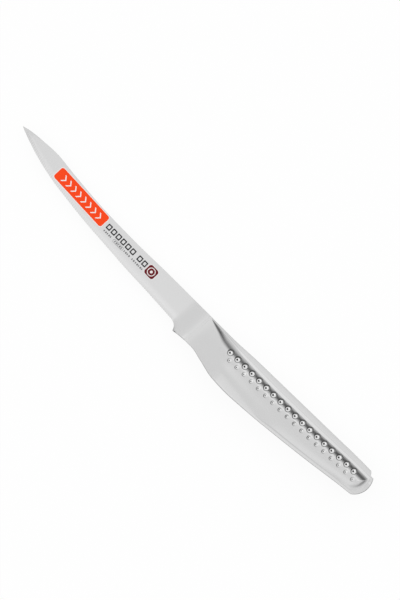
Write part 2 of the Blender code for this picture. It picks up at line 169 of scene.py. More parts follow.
def crest_height(x):
    """Half the thickness along the underside, from the neck's to the full swell of the grip."""
    return mix(NECK_THICKNESS, HANDLE_THICKNESS, ease((x - WELD_AT) / (SWELL_AT - WELD_AT))) / 2


def neck_lean(x):
    """Slope across the neck's sides, which are a little thicker at the spine. It ends at the swell."""
    return NECK_LEAN * (1 - ease((x - WELD_AT) / (SWELL_AT - WELD_AT)))


def flat_half_thickness(x, y):
    """Height of the blade's flat ground face, a plane that thins to the tip and to the edge."""
    heel_spine = spine_line(EDGE_END)
    across = (SPINE_THICKNESS_HEEL - SHOULDER_THICKNESS) / 2 / (BLADE_WIDTH - BEVEL_WIDTH)
    heel = SPINE_THICKNESS_HEEL / 2 - across * heel_spine
    lengthwise = (heel - SPINE_THICKNESS_TIP / 2) / EDGE_END
    return heel + across * y + lengthwise * (x - EDGE_END)


def bevel_top(x):
    """Where the bevel meets the flat face. It keeps its width round the finger notch."""
    low = underside_at(x)
    neck = ease((x - EDGE_END) / (WELD_AT - EDGE_END))
    width = min(BEVEL_WIDTH, (spine_line(x) - low) * TIP_BEVEL_SHARE)
    if x <= EDGE_END:
        return low + width
    radius = NOTCH_LENGTH / math.sin(NOTCH_TURN)
    reach = radius + BEVEL_WIDTH
    centre = underside_at(EDGE_END) - radius
    round_notch = centre + math.sqrt(max(reach ** 2 - (x - EDGE_END) ** 2, 0.0))
    return max(round_notch, low + mix(BEVEL_WIDTH, NECK_UNDERSIDE_ROUNDING, neck))


def round_side(steps):
    """Rounded side of a section, as (share across, share of the height) from its edge inwards."""
    turns = np.linspace(0.0, math.pi / 2, steps + 1)
    return [(1 - max(math.cos(t), 0.0) ** ROUND_POWER, math.sin(t) ** ROUND_POWER) for t in turns]


def blade_ring(x, cut=0.0):
    """Closed section of the blade or neck at x; cut is how deep the wheel has gone there, 0 to 1."""
    top, low, shoulder = spine_line(x), underside_at(x), bevel_top(x)
    neck = float(ease((x - EDGE_END) / (WELD_AT - EDGE_END)))
    thin = min((top - low) / (2 * BEVEL_WIDTH), 1.0)
    rounding = mix(min(SPINE_ROUNDING, (top - low) * TIP_ROUNDING_SHARE), NECK_ROUNDING, neck)

    def half(y):
        leaning = crest_height(x) + neck_lean(x) * (y - (top + low) / 2)
        return mix(flat_half_thickness(x, y) * thin, leaning, neck)

    bevel, bite = shoulder - low, TOOTH_DEPTH * cut
    fall = half(shoulder) / bevel
    blunt = max(half(shoulder) - BEVEL_SLOPE * bevel, 0.0) if x > EDGE_END else 0.0
    face = [(top - rounding * across, half(top - rounding * across) * up) for across, up in round_side(5)]
    flat = [mix(top - rounding, shoulder, part) for part in (0.2, 0.4, 0.6, 0.8, 1.0)]
    face += [(y, half(y)) for y in flat]

    def bevel_side(cut_here):
        points = []
        for part, (across, up) in zip((0.8, 0.5, 0.25, 0.0), round_side(3)[::-1]):
            y = low + bevel * part
            z = mix(blunt, half(shoulder), part)
            if cut_here and y - low < FLUTE_LENGTH:
                in_flute = (y - low) / FLUTE_LENGTH
                y = mix(low + bite, low + FLUTE_LENGTH, in_flute)
                z = mix(-bite * fall, FLUTE_LENGTH * fall, in_flute)
            round_y, round_z = low + NECK_UNDERSIDE_ROUNDING * across, half(low) * up
            points.append((mix(y, round_y, neck), mix(z, round_z, neck)))
        return points

    front = face + bevel_side(cut)
    back = face + bevel_side(0.0)[:-1] + front[-1:]
    back = [(y, -z) for y, z in back[:-1]] + [(front[-1][0], -abs(front[-1][1]))]
    return [(x, y, z) for y, z in front + back[::-1]]


def tooth_places():
    """Places of the rings along the edge, each with how deep the wheel has cut there, 0 to 1."""
    samples = np.linspace(0.0, EDGE_END, EDGE_SAMPLES)
    heights = np.array([underside_at(x) for x in samples])
    travelled = np.concatenate(([0.0], np.cumsum(np.hypot(np.diff(samples), np.diff(heights)))))
    teeth = round((travelled[-1] - PLAIN_TIP) / TOOTH_PITCH)
    pitch = (travelled[-1] - PLAIN_TIP) / teeth
    plain = np.linspace(TIP_POINT, PLAIN_TIP, PLAIN_TIP_STEPS, endpoint=False)
    places = [(float(x), 0.0) for x in np.interp(plain, travelled, samples)]
    for tooth in range(teeth):
        for part in np.arange(TOOTH_STEPS) / TOOTH_STEPS:
            where = PLAIN_TIP + (tooth + part) * pitch
            places.append((float(np.interp(where, travelled, samples)), 4 * part * (1 - part)))
    return places


def lay_grid(bm, rings, layers=()):
    """A grid of faces with one column of it laid on each ring of points.

    The numbers that follow a point's place go into the layers, one into each.
    """
    columns, rows = len(rings) - 1, len(rings[0]) - 1
    for v in bmesh.ops.create_grid(bm, x_segments=columns, y_segments=rows, size=0.5)["verts"]:
        point = rings[round((v.co.x + 0.5) * columns)][round((v.co.y + 0.5) * rows)]
        v.co = point[:3]
        for layer, number in zip(layers, point[3:]):
            v[layer] = float(number)


def close_ends(bm):
    """Joins the points that meet and closes the open ends."""
    bmesh.ops.remove_doubles(bm, verts=bm.verts, dist=MERGE_DISTANCE)
    bmesh.ops.holes_fill(bm, edges=[edge for edge in bm.edges if edge.is_boundary], sides=0)


def finish_piece(name, bm, material, stands_for, crease=32):
    """Object of the mesh, in its place in the frame, faces outward and smooth except at creases."""
    bmesh.ops.remove_doubles(bm, verts=bm.verts, dist=MERGE_DISTANCE)
    bmesh.ops.dissolve_degenerate(bm, edges=bm.edges, dist=MERGE_DISTANCE / 2)
    bmesh.ops.recalc_face_normals(bm, faces=bm.faces)
    bmesh.ops.translate(bm, verts=bm.verts, vec=TIP_PLACE)
    mesh = bpy.data.meshes.new(name)
    bm.to_mesh(mesh)
    bm.free()
    mesh.shade_smooth()
    mesh.set_sharp_from_angle(angle=math.radians(crease))
    mesh.materials.append(material)
    piece = bpy.data.objects.new(name, mesh)
    bpy.context.collection.objects.link(piece)
    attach(piece, "root")
    if stands_for:
        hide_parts(stands_for)


class Wire:
    """A node's output, on which Python's arithmetic adds Math nodes."""

    def __init__(self, nodes, socket):
        self.nodes = nodes
        self.socket = socket

    def maths(self, operation, first, second=0.0):
        return self.nodes.add("ShaderNodeMath", {"operation": operation}, {0: first, 1: second})

    def __add__(self, other):
        return self.maths("ADD", self, other)

    def __sub__(self, other):
        return self.maths("SUBTRACT", self, other)

    def __rsub__(self, other):
        return self.maths("SUBTRACT", other, self)

    def __mul__(self, other):
        return self.maths("MULTIPLY", self, other)

    __radd__ = __add__
    __rmul__ = __mul__


class Nodes:
    """The node tree of a material or the world, filled one node at a time."""

    def __init__(self, tree):
        self.tree = tree

    def add(self, kind, settings=None, sockets=None, output=0):
        node = self.tree.nodes.new(kind)
        for name, value in (settings or {}).items():
            if name == "stops":
                ramp = node.color_ramp
                while len(ramp.elements) < len(value):
                    ramp.elements.new(1.0)
                for stop, (position, colour) in zip(ramp.elements, value):
                    stop.position = position
                    stop.color = (*colour, 1.0)
            else:
                setattr(node, name, value)
        self.fill(node, sockets or {})
        return Wire(self, node.outputs[output])

    def fill(self, node, sockets):
        for name, value in sockets.items():
            if isinstance(value, Wire):
                self.tree.links.new(value.socket, node.inputs[name])
            else:
                node.inputs[name].default_value = value


class Finish(Nodes):
    """The finish of one surface: a material whose shader takes colour, roughness and bump."""

    def __init__(self, name, metal=1.0):
        self.material = bpy.data.materials.new(name)
        self.material.use_nodes = True
        super().__init__(self.material.node_tree)
        self.shader = self.tree.nodes["Principled BSDF"]
        self.shader.inputs["Metallic"].default_value = metal
        self.here = self.add("ShaderNodeTexCoord", output="Object")

    def stretched(self, scale):
        """The place on the piece, scaled along each axis."""
        return self.add("ShaderNodeMapping", {"vector_type": "POINT"},
                        {"Vector": self.here, "Scale": scale})

    def noise(self, place, scale, detail=2.0, rough=0.5):
        return self.add("ShaderNodeTexNoise", {"noise_dimensions": "3D"},
                        {"Vector": place, "Scale": scale, "Detail": detail, "Roughness": rough})

    def shade(self, low, high, amount):
        """A colour between two, by an amount from 0 to 1."""
        return self.add("ShaderNodeMix", {"data_type": "RGBA", "clamp_factor": True},
                        {0: amount, 6: (*low, 1.0), 7: (*high, 1.0)}, output=2)

    def blend(self, under, colour, amount):
        """A colour laid over another one by an amount from 0 to 1."""
        return self.add("ShaderNodeMix", {"data_type": "RGBA", "clamp_factor": True},
                        {0: amount, 6: under, 7: (*colour, 1.0)}, output=2)

    def bump(self, height, depth):
        """Relief of that depth in metres."""
        return self.add("ShaderNodeBump", None, {"Height": height, "Distance": depth, "Strength": 1.0})

    def wear(self, **sockets):
        """Feeds the shader and returns the material."""
        self.fill(self.shader, {name.replace("_", " "): value for name, value in sockets.items()})
        return self.material


def satin_steel():
    """Fine even grinding square to the edge, with a faint cloudiness from the polishing wheel."""
    finish = Finish("satin_blade_steel")
    lines = finish.noise(finish.stretched((1.0, 0.06, 0.4)), 5200.0, detail=3.0, rough=0.6)
    cloud = finish.noise(finish.here, 60.0, detail=3.0)
    return finish.wear(
        Base_Color=finish.shade((0.463, 0.463, 0.463), (0.488, 0.488, 0.490), cloud * 0.6 + lines * 0.4),
        Roughness=lines * 0.05 + cloud * 0.03 + 0.21,
        Normal=finish.bump(lines, 1.2e-6))


bm = bmesh.new()
rings = [blade_ring(x, cut) for x, cut in tooth_places()]
for turn in np.linspace(0.0, NOTCH_TURN, NOTCH_STEPS):
    rings.append(blade_ring(EDGE_END + NOTCH_LENGTH * math.sin(turn) / math.sin(NOTCH_TURN)))
rings += [blade_ring(x) for x in np.linspace(BLADE_LENGTH, WELD_AT, NECK_STEPS)[1:]]
half_count = len(rings[0]) // 2
for length, taper in ((0.0, 0.0), (0.5, 0.2), (0.9, 0.6), (1.0, 1.0)):
    x = mix(WELD_AT, WELD_AT + TANG_LENGTH, length)
    inset = TANG_INSET + TANG_TAPER * taper
    top, low = spine_line(x) - inset, underside_at(x) + inset
    front = [(x, mix(top, low, part), TANG_THICKNESS / 2) for part in np.linspace(0.0, 1.0, half_count)]
    rings.append(front + [(x, y, -z) for x, y, z in reversed(front)])
lay_grid(bm, [ring + ring[:1] for ring in rings])
close_ends(bm)
finish_piece("blade_steel", bm, satin_steel(), "blade", crease=14)


# Handle shells
# Two halves pressed from steel sheet and blasted to an even satin. Each has a ridge along the spine
# with a fine scribed line, a scoop with a steep wall below it, and two staggered rows of coined dimples
# at that wall's foot, with a painted highlight in their bowls and painted shade on their lips and in the
# fine lines. The edges are ground round where the halves are welded together.
SEAM_HALF = 0.00042
NECK_BEAD_LENGTH = 0.0014
SHELL_AT = WELD_AT + NECK_BEAD_LENGTH
SHELL_WALL = 0.0010
RIDGE_WIDTH = 0.0054
RIDGE_ROUNDING = 0.0002
RIDGE_LINE = 0.0035
RIDGE_CURL = math.tan(math.radians(2.2)) / RIDGE_LINE
RIDGE_LEAN = math.tan(math.radians(5.8))
LINE_HALF_WIDTH = 0.0003
LINE_DEPTH = 0.000006
# Darkness painted into the fine lines: painted shade
LINE_PAINTED_SHADE = 0.20
CREASE_WIDTH = 0.00012
SCOOP_WALL_WIDTH = 0.0051
SCOOP_DEPTH = 0.0023
SCOOP_END_WALL = 0.0033
SCOOP_END_SPREAD = 0.30
SCOOP_CORNER = 16.0
WALL_START_SLOPE = 0.50
WALL_TAIL = 1.3
FOOT_REACH = 0.0026
FOOT_REACH_SHARE = 0.45
UNDERSIDE_ROUNDING = 0.0003
UNDERSIDE_RIM = 0.0019
SWELL_RIM = 0.0060
SWELL_FALL = 0.00012
SWELL_FALL_POWER = 1.8
BUTT_RADIUS = 0.0113
BUTT_ROUNDING = 0.0006
BUTT_CORNER = 0.0022
BUTT_BEND = 0.0220
BUTT_ARC_SHARE = 0.95
BEND_ROUNDS = 8
RIM_STEPS = 8
RIM_WIDTH = 0.0034
SIDE_SQUEEZE = 0.15
DIMPLES_IN_ROW = 18
DIMPLE_PITCH = 0.00581
FIRST_DIMPLE = 0.0223
DIMPLES_BELOW_SPINE = 0.0079
DIMPLE_ROW_DROP = 0.0036
# Each row's radii of the bowl, of its lip and of the ball that pressed it, and its depth
DIMPLE_ROWS = ((0.00143, 0.00206, 0.0046, 0.00058), (0.00080, 0.00150, 0.0027, 0.00045))
# Share of the lips' painted shade that leans towards the blade and the underside
LIP_SHADE_ASIDE = 0.55
# Rings in front of the dimples and from there to the butt
RING_STEPS = (44, 630)

SCOOP_END = KNIFE_LENGTH - RIM_WIDTH


def along_grip(points, size):
    """Curve of (place, share of the size) points along the shells, 0 in front to 1 at the butt."""
    return curve([(mix(SHELL_AT, KNIFE_LENGTH, place), size * share) for place, share in points])


ridge_width = along_grip((
    (0.0, 0.07), (0.05, 0.17), (0.13, 0.38), (0.22, 0.71), (0.30, 0.875), (0.43, 0.985), (0.60, 1.0),
    (0.75, 0.93), (0.95, 0.80)), RIDGE_WIDTH)
wall_width = along_grip((
    (0.0, 0.12), (0.045, 0.52), (0.07, 0.74), (0.12, 1.22), (0.19, 1.16), (0.32, 1.05), (0.50, 1.0)),
    SCOOP_WALL_WIDTH)
wall_steepest = along_grip((
    (0.0, 0.40), (0.06, 0.42), (0.15, 0.50), (0.20, 0.50), (0.28, 0.44), (0.40, 0.40), (1.0, 0.40)), 1.0)
scoop_start = along_grip((
    (0.0, 0.0), (0.02, 0.22), (0.045, 0.47), (0.07, 0.68), (0.12, 0.94), (0.18, 1.0), (0.25, 1.0)), 1.0)
swell_rim = along_grip((
    (0.0, 0.2), (0.12, 0.75), (0.22, 1.0), (0.36, 0.6), (0.48, 0.0), (1.0, 0.0)), SWELL_RIM)
swell_fall = along_grip((
    (0.0, 0.0), (0.10, 0.6), (0.20, 1.0), (0.36, 0.6), (0.50, 0.45), (1.0, 0.45)), SWELL_FALL)
flat_rim = along_grip(((0.38, 0.0), (0.54, 1.0), (1.0, 1.0)), UNDERSIDE_RIM)
crisp_rim = along_grip(((0.42, 0.0), (0.58, 1.0), (0.85, 1.0), (1.0, 0.2)), 1.0)
dimples_below_spine = along_grip((
    (0.17, 0.89), (0.38, 0.98), (0.60, 1.0), (0.82, 0.95), (0.92, 0.90)), DIMPLES_BELOW_SPINE)


def wall_drop(t, steepest):
    """Share of the scoop's depth that its wall has dropped at t, from its crease to its foot."""
    first = np.clip(t / steepest, 0.0, 1.0)
    second = np.clip((t - steepest) / (1 - steepest), 0.0, 1.0)
    upper = steepest * (WALL_START_SLOPE * first + (1 - WALL_START_SLOPE) * (first ** 3 - first ** 4 / 2))
    lower = (1 - steepest) * (1 - (1 - second) ** (WALL_TAIL + 1)) / (WALL_TAIL + 1)
    whole = steepest * (1 + WALL_START_SLOPE) / 2 + (1 - steepest) / (WALL_TAIL + 1)
    return (upper + lower) / whole


def scoop_distance(across, lengthwise):
    """Distance into the scoop from its two creases, which meet in a nearly sharp corner."""
    across, lengthwise = np.maximum(across, 1e-6), np.maximum(lengthwise, 1e-6)
    return (across ** -SCOOP_CORNER + lengthwise ** -SCOOP_CORNER) ** (-1 / SCOOP_CORNER)


def brow_at(x):
    """Distance below the spine of the brow, where the scoop's floor meets the underside's rim."""
    return handle_width(x) - UNDERSIDE_ROUNDING - swell_rim(x) - flat_rim(x)


def ridge_line_at(x):
    """Distance below the spine of the line along the ridge, beyond which the ridge leans evenly."""
    return RIDGE_LINE * ridge_width(x) / RIDGE_WIDTH


def fine_lines(x, below):
    """How deep each point lies, 0 to 1, in the fine lines scribed along the ridge and the brow."""
    on_ridge = scoop_start(x) * np.maximum(1 - np.abs(below - ridge_line_at(x)) / LINE_HALF_WIDTH, 0.0)
    on_brow = crisp_rim(x) * np.maximum(1 - np.abs(below - brow_at(x)) / LINE_HALF_WIDTH, 0.0)
    return np.maximum(on_ridge, on_brow)


def skin_height(x, below):
    """Height of the front half's skin at x, without dimples, at distances below the spine."""
    start = scoop_start(x)
    grown = ease((x - WELD_AT) / (SWELL_AT - WELD_AT))
    floor = mix(NECK_THICKNESS / 2, HANDLE_THICKNESS / 2 - SCOOP_DEPTH, grown)
    ridge_top, crest = floor + SCOOP_DEPTH * start, crest_height(x)
    ridge, wall = ridge_width(x), wall_width(x)
    corner, brow = handle_width(x) - UNDERSIDE_ROUNDING, brow_at(x)
    foot = ridge + wall
    part = np.clip((below - foot) / (brow - foot), 0.0, 1.0)
    low = mix(floor, crest, mix(ease(part), part ** 2, crisp_rim(x)))
    high = mix(ridge_top, crest, part)
    line, on_ridge = ridge_line_at(x), np.minimum(below, ridge)
    curled, leaned = np.minimum(on_ridge, line), np.maximum(on_ridge - line, 0.0)
    lean = RIDGE_CURL * curled ** 2 / 2 + RIDGE_LEAN * leaned
    high = high - start * lean * (1 - ease((below - ridge) / wall))
    across = (below - ridge) / wall
    end_wall = SCOOP_END_WALL * (1 + SCOOP_END_SPREAD * np.maximum(across, 0.0))
    dropped = wall_drop(scoop_distance(across, (SCOOP_END - x) / end_wall), wall_steepest(x))
    height = high - (high - low) * dropped - LINE_DEPTH * fine_lines(x, below)
    past_brow = np.clip((below - brow) / (corner - brow), 0.0, 1.0)
    fall = swell_fall(x) * past_brow ** SWELL_FALL_POWER
    return height - fall + neck_lean(x) * (handle_width(x) / 2 - below)


dimples = []
for row, (bowl, lip, ball, depth) in enumerate(DIMPLE_ROWS):
    for i in range(DIMPLES_IN_ROW):
        x = SHELL_AT + FIRST_DIMPLE + (i + row / 2) * DIMPLE_PITCH
        below = dimples_below_spine(x) + row * DIMPLE_ROW_DROP
        bottom = float(skin_height(x, np.array([below + lip]))[0]) - depth
        dimples.append((x, below, bowl, lip, ball, bottom))


def dimpled(x, below, height):
    """The skin's height with the dimples pressed in, how polished and painted bright each point is, and
    how much painted shade it carries.

    The painted shade lies in the fine lines, and on the lips' sides towards the blade and the underside.
    """
    polish, grime = np.zeros_like(height), LINE_PAINTED_SHADE * fine_lines(x, below)
    for centre, centre_below, bowl, lip, ball, bottom in dimples:
        if abs(x - centre) < lip:
            off = np.hypot(below - centre_below, x - centre)
            inside = 1 - ease((off - bowl) / (lip - bowl))
            pressed = bottom + ball - np.sqrt(ball ** 2 - np.minimum(off, lip) ** 2)
            height = mix(height, np.minimum(pressed, height), inside)
            polish = np.maximum(polish, inside)
            toward = (centre - x + below - centre_below) / (math.sqrt(2) * np.maximum(off, 1e-6))
            shaded_side = np.clip(1 - LIP_SHADE_ASIDE + LIP_SHADE_ASIDE * toward, 0.0, 1.0)
            # Painted shade on the lips, heavier on the sides towards the blade and the underside
            grime = np.maximum(grime, 2 * np.sqrt(inside * (1 - inside)) * shaded_side)
    return height, polish, grime


def butt_sag(y):
    """How far the butt's round end lies short of the knife's full length at height y."""
    middle = spine_line(KNIFE_LENGTH) - BUTT_WIDTH / 2
    off = np.minimum(np.abs(y - middle), BUTT_RADIUS * BUTT_ARC_SHARE)
    return BUTT_RADIUS - np.sqrt(BUTT_RADIUS ** 2 - off ** 2)


def spine_at(x):
    """The spine's outline with its corner at the butt rounded off."""
    corner_start = KNIFE_LENGTH - float(butt_sag(spine_line(KNIFE_LENGTH))) - BUTT_CORNER
    into_corner = min(max(x - corner_start, 0.0), BUTT_CORNER)
    return spine_line(x) - BUTT_CORNER + math.sqrt(BUTT_CORNER ** 2 - into_corner ** 2)


def plan_across(x):
    """Function that gives the place in plan of a share of the way across, bent round the butt's end."""
    bend = ease((x - KNIFE_LENGTH) / BUTT_BEND + 1)

    def bent(y):
        return float(x - bend * butt_sag(y))

    spine, lowest = spine_at(x), underside_at(x)
    for _ in range(BEND_ROUNDS):
        spine, lowest = spine_at(bent(spine)), underside_at(bent(lowest))

    def place(share):
        y = float(mix(spine, lowest, share))
        return bent(y), y

    return place


def handle_ring(x, inset=0.0, foot=SEAM_HALF, drop=1.0, fine=1.0):
    """Points of the front half's skin at x, sunk by inset, with how polished and painted bright each is,
    and how much painted shade it has.

    drop, from 1 to 0, lowers the ring to close the butt's end, but no point goes below foot. fine is
    the share of its points that are made.
    """
    width, ridge, wall = handle_width(x), ridge_width(x), wall_width(x)
    corner, brow = width - UNDERSIDE_ROUNDING, brow_at(x)
    foot_at = ridge + wall
    dense_end = foot_at + min(FOOT_REACH, (brow - foot_at) * FOOT_REACH_SHARE)
    line, crease = ridge_line_at(x), ridge - CREASE_WIDTH
    line_start = float(np.clip(line - LINE_HALF_WIDTH, RIDGE_ROUNDING, crease))
    line_end = float(np.clip(line + LINE_HALF_WIDTH, line_start, crease))
    spans = ((RIDGE_ROUNDING, line_start, 4), (line_start, line_end, 2), (line_end, crease, 4),
             (crease, ridge, 1), (ridge, foot_at, 24), (foot_at, dense_end, 12), (dense_end, brow, 14),
             (brow, corner, 6))
    across = [np.linspace(a, b, math.ceil(steps * fine), endpoint=False) for a, b, steps in spans]
    below = np.concatenate([*across, [corner]])
    height, polish, grime = dimpled(x, below, skin_height(x, below))
    sides = round_side(RIM_STEPS)[:-1]
    spine_side = [(RIDGE_ROUNDING * a, height[0] * up, 0.0, 0.0) for a, up in sides]
    underside = [(width - UNDERSIDE_ROUNDING * a, height[-1] * up, 0.0, 0.0) for a, up in reversed(sides)]
    place = plan_across(x)
    points = []
    for down, z, polish_highlight, shade_paint in [*spine_side, *zip(below, height, polish, grime), *underside]:
        down = max(down, inset + SIDE_SQUEEZE * down)
        down = width - max(width - down, inset + SIDE_SQUEEZE * (width - down))
        points.append((*place(down / width), max((z - inset) * drop, foot), polish_highlight, shade_paint))
    return points


def handle_stations(inset, coarse=1):
    """Places of the rings up to the butt, each with its drop, close together at the dimples."""
    dense_from = SHELL_AT + FIRST_DIMPLE - 2 * DIMPLE_ROWS[0][1]
    end, rounding = KNIFE_LENGTH - inset, max(BUTT_ROUNDING - inset / 2, BUTT_ROUNDING / 3)
    front, dense = (steps // coarse for steps in RING_STEPS)
    places = [*np.linspace(SHELL_AT, dense_from, front, endpoint=False),
              *np.linspace(dense_from, end - rounding, dense, endpoint=False)]
    closing = [(end - rounding * a, up) for a, up in reversed(round_side(RIM_STEPS))]
    return [(float(x), 1.0) for x in places] + closing


def handle_steel():
    """Blasted satin, with coined dimples whose bowls are smoother and painted bright as a highlight, and
    painted shade on their lips and in the fine lines.
    """
    finish = Finish("satin_handle_steel")
    polish_highlight = finish.add("ShaderNodeAttribute", {"attribute_name": "polish"}, output="Fac")
    shade_paint = finish.add("ShaderNodeAttribute", {"attribute_name": "grime"}, output="Fac")
    grain = finish.noise(finish.here, 4200.0, detail=2.0, rough=0.6)
    cloud = finish.noise(finish.here, 90.0, detail=3.0)
    satin = finish.shade((0.463, 0.463, 0.463), (0.495, 0.495, 0.496), cloud * 0.6 + grain * 0.4)
    # The bowls' lighter colour is a painted highlight; their lower roughness is real polish
    coined_highlight = finish.blend(satin, (0.56, 0.56, 0.56), polish_highlight)
    return finish.wear(
        # Near-black on the dimples' lips and in the fine lines: painted shade
        Base_Color=finish.blend(coined_highlight, (0.08, 0.08, 0.08), shade_paint * 0.92),
        Roughness=(grain * 0.05 + cloud * 0.03 + 0.21) * (1 - polish_highlight) + polish_highlight * 0.13,
        Normal=finish.bump(grain * (1 - polish_highlight), 1.5e-6))


handle_finish = handle_steel()


def make_shell(name, side):
    bm = bmesh.new()
    layers = [bm.verts.layers.float.new(layer) for layer in ("polish", "grime")]
    rings = []
    for (x, drop), (inner_x, inner_drop) in zip(handle_stations(0.0), handle_stations(SHELL_WALL)):
        outside = handle_ring(x, drop=drop)
        inside = handle_ring(inner_x, SHELL_WALL, drop=inner_drop, fine=0.5)
        ring = outside + [(*point[:3], 0.0, 0.0) for point in reversed(inside)] + outside[:1]
        rings.append([(x, y, z * side, polish_highlight, shade_paint) for x, y, z, polish_highlight, shade_paint in ring])
    lay_grid(bm, rings, layers)
    close_ends(bm)
    finish_piece(name.replace("handle", "grip"), bm, handle_finish, name, crease=50)


make_shell("handle_shell_front", 1)
make_shell("handle_shell_back", -1)


# Dimple dark spots
# A small dark drop in the bottom of every dimple: a painted dark reflection. It sits a little off the
# middle, towards the blade and the underside, where that reflection falls.
DROP_SHARE = 0.48
DROP_SHIFT = 0.19
DROP_LOWER = 0.20
DROP_HEIGHT = 0.00014
DROP_TAPER = 0.8
DROP_SIDES = 14


def painted_dark_reflection():
    finish = Finish("painted_dark_reflection", metal=0.0)
    finish.shader.inputs["Specular IOR Level"].default_value = 0.3
    cloud = finish.noise(finish.here, 1500.0, detail=2.0)
    return finish.wear(
        # Near-black drops that stand in for the dark reflection in the dimples' bottoms: painted
        # reflection
        Base_Color=finish.shade((0.008, 0.008, 0.008), (0.030, 0.030, 0.031), cloud),
        Roughness=cloud * 0.15 + 0.3,
        Normal=finish.bump(cloud, 1e-5))


bm = bmesh.new()
for x, below, bowl, lip, ball, bottom in dimples:
    middle = plan_across(x - DROP_SHIFT * bowl)((below + DROP_LOWER * bowl) / handle_width(x))
    for side in (1, -1):
        rim, top = (bowl * DROP_SHARE, bowl * DROP_SHARE * DROP_TAPER)[::side]
        drop = bmesh.ops.create_cone(bm, cap_ends=True, segments=DROP_SIDES, radius1=rim, radius2=top,
                                     depth=DROP_HEIGHT)["verts"]
        bmesh.ops.translate(bm, verts=drop, vec=(*middle, side * (bottom + DROP_HEIGHT / 6)))
finish_piece("dimple_painted_reflection", bm, painted_dark_reflection(), None)


# Neck weld
# The bead that joins the blade's neck to the front ends of both shells, all the way round the tang.
# It is laid in the joint and then ground flush with the steel on both sides of it.
WELD_FIT = 0.00002


def weld_steel(name):
    """Ground flush with the same wheel as the handle, a trace rougher."""
    finish = Finish(name)
    grain = finish.noise(finish.here, 3600.0, detail=2.0, rough=0.6)
    cloud = finish.noise(finish.here, 120.0, detail=3.0)
    return finish.wear(
        Base_Color=finish.shade((0.459, 0.459, 0.459), (0.493, 0.493, 0.494), cloud * 0.6 + grain * 0.4),
        Roughness=grain * 0.06 + cloud * 0.04 + 0.21,
        Normal=finish.bump(grain, 1.5e-6))


def whole_ring(x, inset, drop=1.0):
    """Closed section of both halves of the handle."""
    front = [point[:3] for point in handle_ring(x, inset, foot=0.0, drop=drop)]
    return front + [(x, y, -z) for x, y, z in reversed(front)]


bm = bmesh.new()
start, end = WELD_AT + WELD_FIT, SHELL_AT - WELD_FIT
sides = ((start, 0.0), ((start + end) / 2, 0.0), (end, 0.0), (end, SHELL_WALL), (start, SHELL_WALL))
rings = [whole_ring(x, inset) for x, inset in sides]
lay_grid(bm, rings + rings[:1])
finish_piece("neck_bead", bm, weld_steel("ground_neck_weld"), "neck_weld", crease=40)


# Seam weld
# The bead between the two shells, along the spine, round the butt and back along the underside.
# It is ground flush too, so that the handle feels like one piece of steel.
bm = bmesh.new()
paths = []
for inset in (0.0, SHELL_WALL):
    rings = [handle_ring(x, inset, drop=drop) for x, drop in handle_stations(inset, coarse=3)]
    spine = [ring[0][:2] for ring in rings]
    underside = [ring[-1][:2] for ring in rings]
    paths.append(spine + [point[:2] for point in rings[-1][1:-1]] + underside[::-1])
half = SEAM_HALF - WELD_FIT
lay_grid(bm, [[(*a, half), (*a, -half), (*b, -half), (*b, half), (*a, half)] for a, b in zip(*paths)])
close_ends(bm)
finish_piece("seam_bead", bm, weld_steel("ground_seam_weld"), "seam_weld", crease=40)


# Balance sand
# Dry sand that loosely fills the hollow handle behind the tang and balances the blade. It is closed
# in by the shells on all sides and doesn't show.
SAND_GAP = 0.0006


def sand_grains():
    finish = Finish("dry_sand", metal=0.0)
    grains = finish.noise(finish.here, 2400.0, detail=4.0, rough=0.7)
    return finish.wear(
        Base_Color=finish.shade((0.52, 0.42, 0.27), (0.90, 0.82, 0.64), grains),
        Roughness=grains * 0.1 + 0.88,
        Normal=finish.bump(grains, 2e-4))


bm = bmesh.new()
behind_tang = WELD_AT + TANG_LENGTH + SAND_GAP
inset = SHELL_WALL + SAND_GAP
stations = [(x, drop) for x, drop in handle_stations(inset, coarse=4) if x > behind_tang]
lay_grid(bm, [whole_ring(x, inset, drop) for x, drop in stations])
close_ends(bm)
finish_piece("loose_sand", bm, sand_grains(), "balance_sand")


# Label
# A thin film stuck on the marked face: pale stock with round corners, printed with a bright field
# that leaves a narrow pale border, and with a plain row of pale arrowheads in it.
LABEL_LENGTH = 0.0411
LABEL_WIDTH = 0.0088
LABEL_MIDDLE = (0.05345, -0.00284)
LABEL_CORNER = 0.0019
LABEL_BORDER = 0.00045
FILM_THICKNESS = 0.00008
INK_THICKNESS = 0.00002
ARROWS = 8
ARROWS_FROM, ARROWS_TO = 0.0371, 0.0708
ARROWS_MIDDLE = -0.00304
ARROW_HEIGHT = 0.0043
ARROW_STROKE = 0.00085
ARROW_POINT = 0.0019


def ink(name, colour):
    """Even print or film, a little cloudy, with next to no gloss."""
    finish = Finish(name, metal=0.0)
    finish.shader.inputs["Specular IOR Level"].default_value = 0.15
    cloud = finish.noise(finish.here, 260.0, detail=3.0)
    deeper = tuple(0.93 * part for part in colour)
    return finish.wear(
        Base_Color=finish.shade(deeper, colour, cloud),
        Roughness=cloud * 0.08 + 0.45,
        Normal=finish.bump(cloud, 4e-6))


